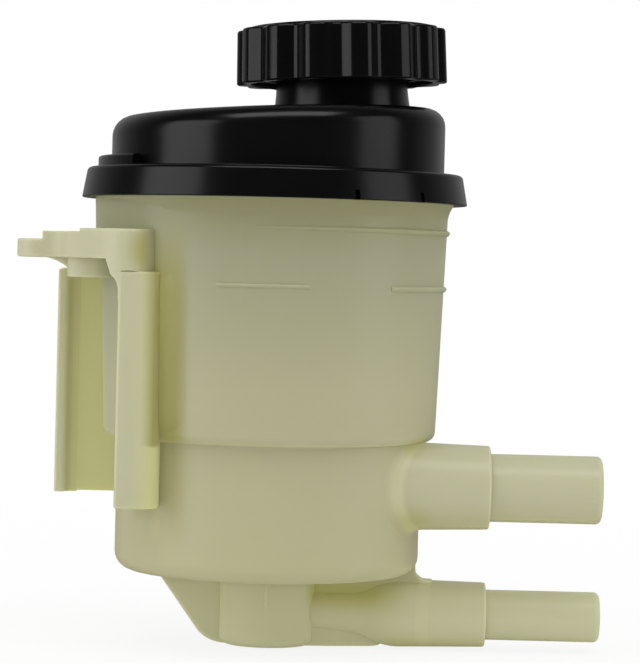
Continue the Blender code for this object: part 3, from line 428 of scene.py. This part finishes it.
level_marks = []
for level, start, end, proud, forward in (
        (99.3, -102, 12, 0.1, 0.6), (86.0, -107, -77, 0.3, 0), (86.0, -48, 12, 0.1, 0.6)):
    face = upper(level) + proud
    mark = turned([
        (upper(level) - 1, level - 1.0, 0), (face, level - 0.35, 0.5), (face, level + 0.35, 0.5),
        (upper(level) - 1, level + 1.0, 0)], angle=end - start, start=start)
    level_marks.append(shifted(mark, forward, 0, 0))
bead_arc, bead_start = 22, 49
baffle_beads = [
    turned([(36.6, 54.6, 0), (38.5, 54.6, 0), (38.5, 56, 0), (36.6, 56, 0.7)],
           angle=bead_arc, start=120 * i + bead_start)
    for i in range(3)]

# Bracket: moulded with the cup on its -X side. A level plate ends in the bolt tab, and a front rail and
# a back slab hang from it. It slides down over the upright tongue of the vehicle's carrier. Faces that
# would lie in one plane are kept 0.015 to 0.03 mm apart, so that the shapes join cleanly.

plate_z, plate_top, bracket_bottom = 91.4, 95.7, 34.3
tab_left, tab_front, tab_back = -60.3, -16, 11.5
rail_left, rail_front, rail_right = -34.6, -34.73, -24.6
slab_left, slab_front, slab_back, block_left = -52.5, 17.5, 21.5, -48.0
plate_corner = bent((-53.4, tab_front), (-49.7, tab_front), (-47.4, -19.7))
plate_side = bent((-44.4, -24.5), (-38.05, -34.7), (-33.2, -34.7))
plate_nose = bent((-33.2, -34.7), (-26.6, -34.7), (-25, -27.5))
front_edge = [*plate_corner, *plate_side[:-1], *plate_nose]
plate = extruded([
    (tab_left, tab_front, 5), *front_edge, (-25, slab_back, 0), (-49.7, slab_back, 1),
    (-49.7, tab_back, 1), (tab_left, tab_back, 5)], plate_z, plate_top, ease=0.5)
plate_front_rib = shifted(extruded([
    (-54, tab_front, 0), *front_edge, (-27.5, -27, 0), (-29, -30.2, 0), (-33.2, -32.1, 0),
    (-36.8, -30.1, 0), (-42.2, -23.1, 0), (-45.2, -18.3, 0), (-48.6, -13.4, 0), (-54, -13.4, 0.5)],
    plate_z + 1, plate_top + 2.6, ease=0.5, ease_above=plate_top + 2), 0, -0.03, 0)
plate_back_rib = extruded([
    (-54, 8.8, 0.5), (-36.4, 8.8, 0), (-36.4, 11.2, 0), (-54, 11.2, 0.5)],
    plate_z + 1, plate_top + 2.6, ease=0.4)
plate_block = extruded([
    (block_left, -17, 1.5), (-44, -20, 4), (-26.8, -20, 0), (-26.8, 18.5, 0), (block_left, 18.5, 0)],
    86.9, plate_z + 1, ease=0.5)
tab_fillet = extruded([
    (block_left + 1, plate_z + 1, 0), (block_left - 5.4, plate_z + 1, 0), (block_left - 5.4, plate_z, 0),
    (block_left - 2.7, plate_z - 0.3, 5), (block_left, plate_z - 2.3, 0),
    (block_left + 1, plate_z - 2.3, 0)], -15.7, 11.2, upright=True)
rail_face = extruded([
    (rail_left, rail_front, 0.7), (rail_right, rail_front, 4.5), (rail_right, -21, 0),
    (rail_left, -21, 0)], bracket_bottom, 88.6, ease=0.5)
rail_head = shifted(extruded([
    *plate_side[3:-1], *plate_nose, (-25, -19, 0), (-34.3, -19, 0), (-34.3, -23, 0), (-39.85, -23, 0)],
    82, plate_z + 2), 0, -0.015, 0)
head_cut = extruded([
    (-41, 80, 0), (rail_left - 0.05, 80, 0), *bent((rail_left - 0.05, 84.2), (-34.8, 86.7), (-36.5, 87.7)),
    (-37.8, plate_z, 0), (-41, plate_z, 0)], -36, -22.6, upright=True)
rail_sink = extruded([
    *bent((-34.2, 88.5), (-32.2, 89.2), (-30.3, 88.45))[:-1],
    *bent((-30.3, 88.45), (-32.2, 88.2), (-34.2, 88.5))[:-1]], -35.5, -34.2, upright=True)
rail_root = shifted(turned([
    (0, 50.6, 0), (17.1, 50.6, 0), (18.1, 54, 2), (19.2, 86, 2), (18.2, 91, 0), (0, 91, 0)], sides=96),
    -13.11, -18.04, 0)
slab = extruded([
    (slab_left, bracket_bottom, 0.5), (-26.8, bracket_bottom, 0), (-26.8, plate_z + 2, 0),
    (-49.1, plate_z + 2, 0), (-49.1, 89, 0), (slab_left, 89, 0.5)],
    slab_front, slab_back - 0.3, upright=True, ease=0.4)
slab_lip = extruded([
    (slab_left - 0.3, 14.5, 0.6), (slab_left + 2.2, 14.5, 1.0), (slab_left + 2.6, 16.6, 2),
    (slab_left + 5.2, 17.6, 0), (slab_left + 5.2, 20.9, 0), (slab_left - 0.3, 20.9, 0.6)],
    bracket_bottom - 0.3, 88.7, ease=0.4)
root_low, root_high = 87.9, 105.7
root_pad = shifted(turned([
    (0, root_low, 0), (upper(root_low) - 1.4, root_low, 0), (upper(root_high) - 1.4, root_high, 0),
    (0, root_high, 0)]), -2.6, 0, 0)
bolt_hole = shifted(turned([
    (0, 90, 0), (3.4, 90, 0), (3.4, 97, 0), (0, 97, 0)], sides=64), -54.3, -2.25, 0)
rib_step = extruded([
    (-61, -26, 0), (-44.6, -26, 0), (-44.6, 12, 0), (-61, 12, 0)], plate_top + 1.9, 100)

cup = moulded("cup", [
    cup_outside, sump, parting_line, gusset, web, keel, return_port, suction_pad, suction_port, plate,
    plate_front_rib, plate_back_rib, plate_block, tab_fillet, rail_face, rail_head, rail_root, slab,
    slab_lip, root_pad, *level_marks],
    [bolt_hole, rib_step, head_cut, rail_sink, cup_inside, sump_hollow, suction_bore, return_bore], natural)
beads = moulded("baffle_beads", baffle_beads, [], natural)
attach(cup, "reservoir")
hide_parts("reservoir_body")
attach(beads, "reservoir")


# Lid: gloss black moulding, welded over the cup's rim. Its dome has a sloping top, and the filler neck
# with its coarse thread stands off centre on it, square to that slope.

black = Finish("black_plastic", IOR=1.5)
black.set("Base Color", black.blend(black.grain(20), (0.002, 0.002, 0.0023), (0.003, 0.003, 0.0033)))
black.set("Roughness", 0.18 + 0.1 * black.grain(8))
black.relief(black.grain(9, 1.0), 0.02)

flange_z, dome_top, dome_radius, dome_wall, slope = 113.2, 127.2, 39.8, 2.4, 0.05
lid_shell = turned([
    (0, dome_top, 0), (dome_radius, dome_top, 4.5), (dome_radius, flange_z, 0.4), (44.8, flange_z, 0.9),
    (46.1, skirt_z, 0.3), (43.2, skirt_z, 0.2), (43.2, 110.8, 0), (dome_radius - dome_wall, 110.8, 0),
    (dome_radius - dome_wall, dome_top - dome_wall, 2.1), (0, dome_top - dome_wall, 0)], sides=144)
dome = [vert for vert in lid_shell.verts if vert.co.xy.length < dome_radius + 0.2]
bmesh.ops.translate(lid_shell, verts=dome, vec=(0.6, 0, 0))
sloping = [vert for vert in lid_shell.verts if vert.co.z > flange_z + 0.5]
shear = Matrix.Identity(4)
shear[2][0] = slope
bmesh.ops.transform(lid_shell, matrix=shear, space=Matrix.Identity(4), verts=sloping)

neck_place = Matrix.Translation((15.6, 0, 127.98)) @ Matrix.Rotation(math.radians(-2), 4, "Y")
neck_top, neck_radius, mouth_radius = 15.4, 15.6, 13
pitch, thread_depth, thread_turns = 4.0, 1.5, 1.5


def on_neck(bm):
    """Moves a shape from the neck's own axis to its place on the lid."""
    bmesh.ops.transform(bm, matrix=neck_place, space=Matrix.Identity(4), verts=bm.verts)
    return bm


def thread(root, crest, low, turns):
    """A right-hand ridge that rises out of its wall at one end and fades into it at the other."""
    inward = math.copysign(1, crest - root)
    foot, half_foot, half_crest = root - 0.4 * inward, 1.1, 0.5
    bm = turned([
        (foot, low - half_foot, 0), (crest, low - half_crest, 0.2), (crest, low + half_crest, 0.2),
        (foot, low + half_foot, 0)], sides=72, angle=360 * turns, rise=pitch * turns)
    for vert in bm.verts:
        turn = (vert.co.z - low) / pitch
        end = min(turn, turns - turn) + 0.3
        radius = vert.co.xy.length
        height = (radius - root) * inward
        if height > 0 and end < 0.5:
            vert.co.xy *= (root + inward * height * max(0, (end - 0.05) / 0.45)) / radius
    return bm


neck = on_neck(turned([
    (0, -1.2, 0), (16.6, -1.2, 0), (16.3, 0.2, 0.8), (neck_radius, 5.5, 3), (neck_radius, neck_top, 0.5),
    (0, neck_top, 0)], sides=96))
neck_bore = on_neck(turned([
    (0, -5, 0), (mouth_radius, -5, 0), (mouth_radius, neck_top - 0.5, 0),
    (mouth_radius + 0.5, neck_top + 0.5, 0), (0, neck_top + 0.5, 0)], sides=96))
neck_thread = on_neck(thread(neck_radius, neck_radius + thread_depth, neck_top - 8, thread_turns))
lid_rib = turned([
    (40, 112.5, 0), (42.5, 112.5, 0), (42.5, 115.8, 0.8), (40, 115.8, 0.8)],
    sides=192, angle=31, start=189)
skirt_notches = []
for angle in (-65, -41.4):
    notch = extruded([(43.5, -0.6, 0), (48, -0.6, 0), (48, 0.6, 0), (43.5, 0.6, 0)], 105, 108.2)
    bmesh.ops.rotate(notch, verts=notch.verts, cent=(0, 0, 0),
                     matrix=Matrix.Rotation(math.radians(angle), 3, "Z"))
    skirt_notches.append(notch)
lid = moulded("lid", [lid_shell, neck, neck_thread, lid_rib], [neck_bore, *skirt_notches], black)
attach(lid, "reservoir")
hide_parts("reservoir_lid")


# Screw cap: the same gloss black, with a grip ring of fourteen wide lobes round an inner threaded skirt.
# A thin disc stands proud of its top.

cap_black = Finish("cap_plastic", IOR=1.5)
cap_black.set("Base Color",
              cap_black.blend(cap_black.grain(12), (0.002, 0.002, 0.0023), (0.0035, 0.0035, 0.0038)))
cap_black.set("Roughness", 0.12 + 0.08 * cap_black.grain(4))
cap_black.relief(cap_black.grain(7, 1.0), 0.015)

cap_rim, cap_top, plate_under, skirt_radius = 6.5, 19.6, 17.5, 18
lobes, lobe_phase, groove_depth, groove_share = 14, math.radians(-92.6), 1.9, 0.42
cap_shell = turned([
    (0, plate_under, 0), (skirt_radius, plate_under, 0.4), (skirt_radius, 7.5, 0.3), (20, 7.5, 0.3),
    (20, 17.2, 0.5), (21.9, 17.2, 0.5), (21.9, cap_rim, 0.4), (25.2, cap_rim, 0.5), (24.9, cap_top, 0.7),
    (22.3, cap_top, 0.1), (22.1, cap_top + 0.5, 0.2), (0, cap_top + 0.5, 0)], sides=lobes * 24)
period = 2 * math.pi / lobes
for vert in cap_shell.verts:
    radius = vert.co.xy.length
    if radius > 23.6:
        phase = (math.atan2(vert.co.y, vert.co.x) - lobe_phase + period / 2) % period - period / 2
        share = abs(phase) / (period * groove_share)
        if share < 1:
            vert.co.xy *= 1 - groove_depth * math.cos(share * math.pi / 2) ** 2 / radius
cap_thread = on_neck(thread(skirt_radius, skirt_radius - thread_depth, neck_top - 6, 1))
cap = moulded("cap", [on_neck(cap_shell), cap_thread], [], cap_black)
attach(cap, "cap")
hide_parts("filler_cap")


# Cap gasket: a flat ring of black rubber, die-cut from sheet. The cap's plate presses it on the neck's
# mouth, and it stays in the cap when that comes off.

rubber = Finish("rubber", Specular_IOR_Level=0.35)
rubber.set("Base Color", rubber.blend(rubber.grain(3), (0.011, 0.011, 0.011), (0.02, 0.02, 0.019)))
rubber.set("Roughness", 0.55 + 0.25 * rubber.grain(1.5))
rubber.relief(rubber.grain(0.25), 0.03)
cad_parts["cap_gasket"].data.materials[0] = rubber.material


# Filter seal: a moulded ring of black rubber with a faint bloom, between the cage's base and the cup's
# floor. The filter spring presses on it through the cage.

seal_rubber = Finish("seal_rubber", Specular_IOR_Level=0.4)
bloom = seal_rubber.grain(2.5, 5.0)
seal_rubber.set("Base Color", seal_rubber.blend(bloom, (0.01, 0.01, 0.01), (0.026, 0.025, 0.023)))
seal_rubber.set("Roughness", 0.45 + 0.3 * bloom)
seal_rubber.relief(seal_rubber.grain(0.4), 0.02)
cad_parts["filter_seal"].data.materials[0] = seal_rubber.material


# Baffle plate: a perforated disc moulded in unfilled nylon, with the swirl of its flow in the colour.
# It lies on the cup's inner ledge and is snapped in under three beads.

baffle_plastic = Finish("baffle_plastic", Subsurface_Weight=0.5, Subsurface_Radius=(1.0, 0.9, 0.5),
                        Subsurface_Scale=2 * MM, IOR=1.52)
flow = baffle_plastic.grain(7, 3.0, (1, 1, 0.4))
baffle_plastic.set("Base Color", baffle_plastic.blend(flow, (0.52, 0.5, 0.4), (0.6, 0.575, 0.47)))
baffle_plastic.set("Roughness", 0.36 + 0.16 * flow)
baffle_plastic.relief(baffle_plastic.grain(0.5), 0.012)
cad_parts["baffle_plate"].data.materials[0] = baffle_plastic.material


# Filter cage: an off-white moulding of a base ring with its guide tube, eight rods and a roof disc.
# It is a little darker near the base, where the returning fluid comes in.

cage_plastic = Finish("cage_plastic", Subsurface_Weight=0.3, Subsurface_Scale=1.5 * MM, IOR=1.5)
cage_height = cage_plastic.axes()[2]
stain = (32 - cage_height) / 16 * cage_plastic.grain(4)
cage_plastic.set("Base Color", cage_plastic.blend(stain, (0.74, 0.72, 0.66), (0.62, 0.57, 0.45)))
cage_plastic.set("Roughness", 0.4 + 0.15 * cage_plastic.grain(3))
cage_plastic.relief(cage_plastic.grain(0.5), 0.01)
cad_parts["filter_cage"].data.materials[0] = cage_plastic.material


# Filter mesh: a sleeve of square-woven nylon thread behind the cage's rods, moulded in with them.
# Between the threads one sees through it.

nylon = Finish("nylon_mesh", IOR=1.53)
mesh_x, mesh_y, mesh_z = nylon.axes()
thread_pitch, mesh_radius = 0.7, 12.9
warp = (mesh_y.of("ARCTAN2", mesh_x) * (mesh_radius * math.pi / thread_pitch)).of("SINE").of("ABSOLUTE")
weft = (mesh_z * (math.pi / thread_pitch)).of("SINE").of("ABSOLUTE")
between = warp.of("MINIMUM", weft)
nylon.set("Base Color", nylon.blend(nylon.grain(3), (0.78, 0.76, 0.68), (0.7, 0.66, 0.54)))
nylon.set("Roughness", 0.4 + 0.2 * nylon.grain(0.6))
nylon.set("Alpha", 1 - between.of("GREATER_THAN", 0.6))
nylon.relief(1 - between, 0.12)
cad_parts["filter_mesh"].data.materials[0] = nylon.material


# Filter spring: a coil of drawn steel wire between the cage's roof and the baffle plate, with fine
# lines from the drawing. It stands free round a spigot at each end, and here keeps one length on the
# reservoir.

steel = Finish("spring_steel", Metallic=1.0)
drawn = steel.grain(0.35, 4.0, (0.2, 0.2, 1))
steel.set("Base Color", steel.blend(steel.grain(2), (0.48, 0.475, 0.46), (0.6, 0.6, 0.6)))
steel.set("Roughness", 0.2 + 0.25 * drawn)
steel.relief(drawn, 0.008)
coil_radius, wire_radius, coil_turns = 7.0, 0.6, 3.5
wire_low, wire_high, wire_sides = 44.9, 51.4, 12
wire = [(coil_radius + wire_radius * math.cos(2 * math.pi * i / wire_sides),
         wire_low + wire_radius * math.sin(2 * math.pi * i / wire_sides), 0) for i in range(wire_sides)]
coil = piece_from(turned(wire, sides=48, angle=360 * coil_turns, rise=wire_high - wire_low),
                  "filter_coil", steel)
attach(coil, "reservoir")
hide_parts("filter_spring")
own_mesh(coil)


# Studio: a pale floor under the reservoir that fades to white with distance, a soft box on each side and
# one in front above it. Mirror reflections see a darker room, so that the black plastic stays black.

pale = Finish("pale_floor", Base_Color=(0.9, 0.9, 0.9, 1), Roughness=0.9, Specular_IOR_Level=0.0)
floor_x, floor_y, _ = pale.axes()
away = (floor_x * floor_x + floor_y * floor_y).of("SQRT").ramp(90, 490)
seen = pale.node("ShaderNodeLightPath", output="Is Camera Ray")
mirrored = pale.node("ShaderNodeLightPath", output="Is Glossy Ray")
glow = pale.node("ShaderNodeEmission", inputs={"Color": (1, 1, 1, 1), "Strength": 1.0 - 0.95 * mirrored})
shown = pale.node("ShaderNodeMixShader", inputs={
    0: 0.22 + seen * (0.62 + 0.16 * away) + 0.7 * mirrored,
    1: Socket(pale.tree, pale.shader.outputs[0]), 2: glow})
pale.tree.links.new(shown.output, pale.tree.nodes["Material Output"].inputs["Surface"])
floor_mesh = bmesh.new()
bmesh.ops.create_grid(floor_mesh, x_segments=1, y_segments=1, size=4000)
floor_piece = piece_from(shifted(floor_mesh, 0, 0, -0.4), "studio_floor", pale)

world = bpy.data.worlds.new("studio")
bpy.context.scene.world = world
world.cycles.sampling_method = "NONE"
world.use_nodes = True
sky = world.node_tree
toward = Socket.node(sky, "ShaderNodeTexCoord", output="Generated")
behind = Socket.node(sky, "ShaderNodeSeparateXYZ", inputs={"Vector": toward}, output="Y").ramp(0.2, 0.9)
sky_seen = Socket.node(sky, "ShaderNodeLightPath", output="Is Camera Ray")
sky_mirrored = Socket.node(sky, "ShaderNodeLightPath", output="Is Glossy Ray")
level = sky_seen * 0.15 + 0.85 - sky_mirrored * (0.83 - 0.3 * behind)
sky.links.new(level.output, sky.nodes["Background"].inputs["Strength"])
sky.nodes["Background"].inputs["Color"].default_value = (1, 1, 1, 1)


def soft_box(name, azimuth, elevation, width, height, radiance):
    """A rectangular lamp aimed at the middle of the reservoir. Azimuth 0 is the camera's side, 90 is +X."""
    aim, distance = Vector((0, 0, 80)) * MM, 0.9
    turn, lift = math.radians(azimuth), math.radians(elevation)
    away = Vector((math.sin(turn) * math.cos(lift), -math.cos(turn) * math.cos(lift), math.sin(lift)))
    lamp = bpy.data.lights.new(name, "AREA")
    lamp.shape = "RECTANGLE"
    lamp.size = width
    lamp.size_y = height
    lamp.energy = radiance * math.pi * width * height
    box = bpy.data.objects.new(name, lamp)
    box.location = aim + away * distance
    box.rotation_mode = "QUATERNION"
    box.rotation_quaternion = away.to_track_quat("Z", "Y")
    bpy.context.scene.collection.objects.link(box)


soft_box("left_box", -64, 8, 0.62, 0.9, 1.15)
soft_box("right_box", 72, 8, 0.48, 0.9, 0.75)
soft_box("front_box", 0, 62, 0.9, 0.36, 2.0)

camera_data = bpy.data.cameras.new("camera")
camera_data.lens = 154.75
camera_data.sensor_width = 36
camera_data.clip_end = 20
camera = bpy.data.objects.new("camera", camera_data)
camera.location = (0.0116, -0.684, 0.0896)
look = Vector((0.0116, 0, 0.0752)) - camera.location
roll = Matrix.Rotation(math.radians(1.43), 3, "Z").to_quaternion()
camera.rotation_mode = "QUATERNION"
camera.rotation_quaternion = look.to_track_quat("-Z", "Y") @ roll
bpy.context.scene.collection.objects.link(camera)
bpy.context.scene.camera = camera
bpy.context.scene.view_settings.view_transform = "Standard"
